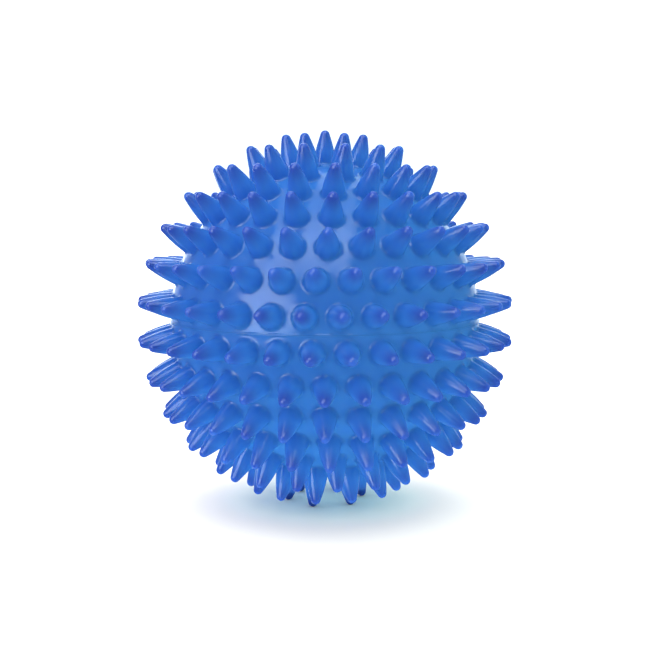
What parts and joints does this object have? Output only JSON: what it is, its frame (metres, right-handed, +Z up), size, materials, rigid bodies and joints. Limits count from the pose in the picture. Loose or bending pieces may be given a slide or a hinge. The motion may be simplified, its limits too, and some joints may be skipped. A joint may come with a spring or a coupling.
{
  "type": "spiky massage ball",
  "caption": "Hollow blue spiky massage ball in soft glossy vinyl: two spiked half shells joined at a level seam, with a pull-out air valve plug underneath.",
  "frame": {"origin": "middle of the overall box at its lowest level, which is the plane of the ring of spike tips that the ball stands on", "axes": "+Z up through both poles of the ball, square to the seam; -Y is the side that faces the viewer"},
  "size_m": [0.0994, 0.0993, 0.0989],
  "materials": {
    "upper_shell": "glossy, slightly see-through soft vinyl",
    "lower_shell": "glossy, slightly see-through soft vinyl",
    "valve_body": "satin rubber",
    "valve_plug": "satin moulded plastic"
  },
  "bodies": {
    "ball": {"upper_shell": "upper_shell", "lower_shell": "lower_shell", "valve_body": "valve_body"},
    "plug": {"valve_plug": "valve_plug"}
  },
  "joints": [
    {"name": "plug_pull", "type": "slide", "parent": "ball", "child": "plug", "axis": [0, 0, -1], "range_m": [0, 0.0065]}
  ]
}
